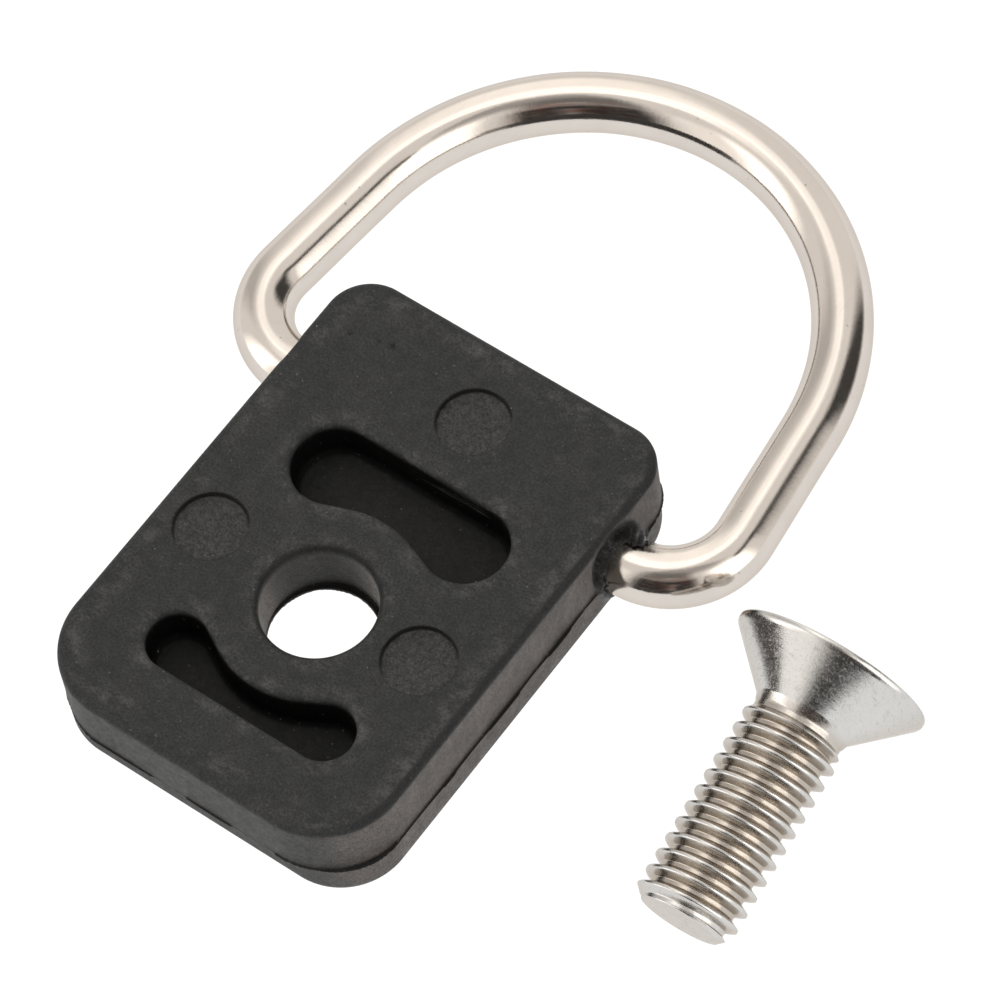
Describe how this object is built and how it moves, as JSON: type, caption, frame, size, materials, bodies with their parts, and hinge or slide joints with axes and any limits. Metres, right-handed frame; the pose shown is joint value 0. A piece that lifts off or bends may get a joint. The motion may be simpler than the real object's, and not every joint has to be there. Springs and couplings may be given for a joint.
{
  "type": "pad eye",
  "caption": "Moulded block pad eye with a folding wire D-ring and its loose countersunk screw, lying mounting face up.",
  "frame": {"origin": "where the screw bore's axis meets the mounting face", "axes": "+Z out of the mounting face, which lies upwards; +Y towards the end of the block that holds the ring; +X along the ring's bar"},
  "size_m": [0.0488, 0.0523, 0.0113],
  "materials": {
    "block_plastic": "matte moulded black, slightly rubbed",
    "ring_steel": "polished",
    "screw_steel": "satin, as rolled"
  },
  "bodies": {
    "base": {"base_block": "block_plastic"},
    "ring": {"d_ring": "ring_steel"},
    "screw": {"countersunk_screw": "screw_steel"}
  },
  "joints": [
    {"name": "ring_swing", "type": "hinge", "parent": "base", "child": "ring", "pos_m": [-0.00035, 0.01265, -0.00395], "axis": [1, 0, 0], "range_deg": [-166, 162]},
    {"name": "screw_lift", "type": "slide", "parent": "base", "child": "screw", "axis": [0, 0, 1], "range_m": [0, 0.04]}
  ]
}
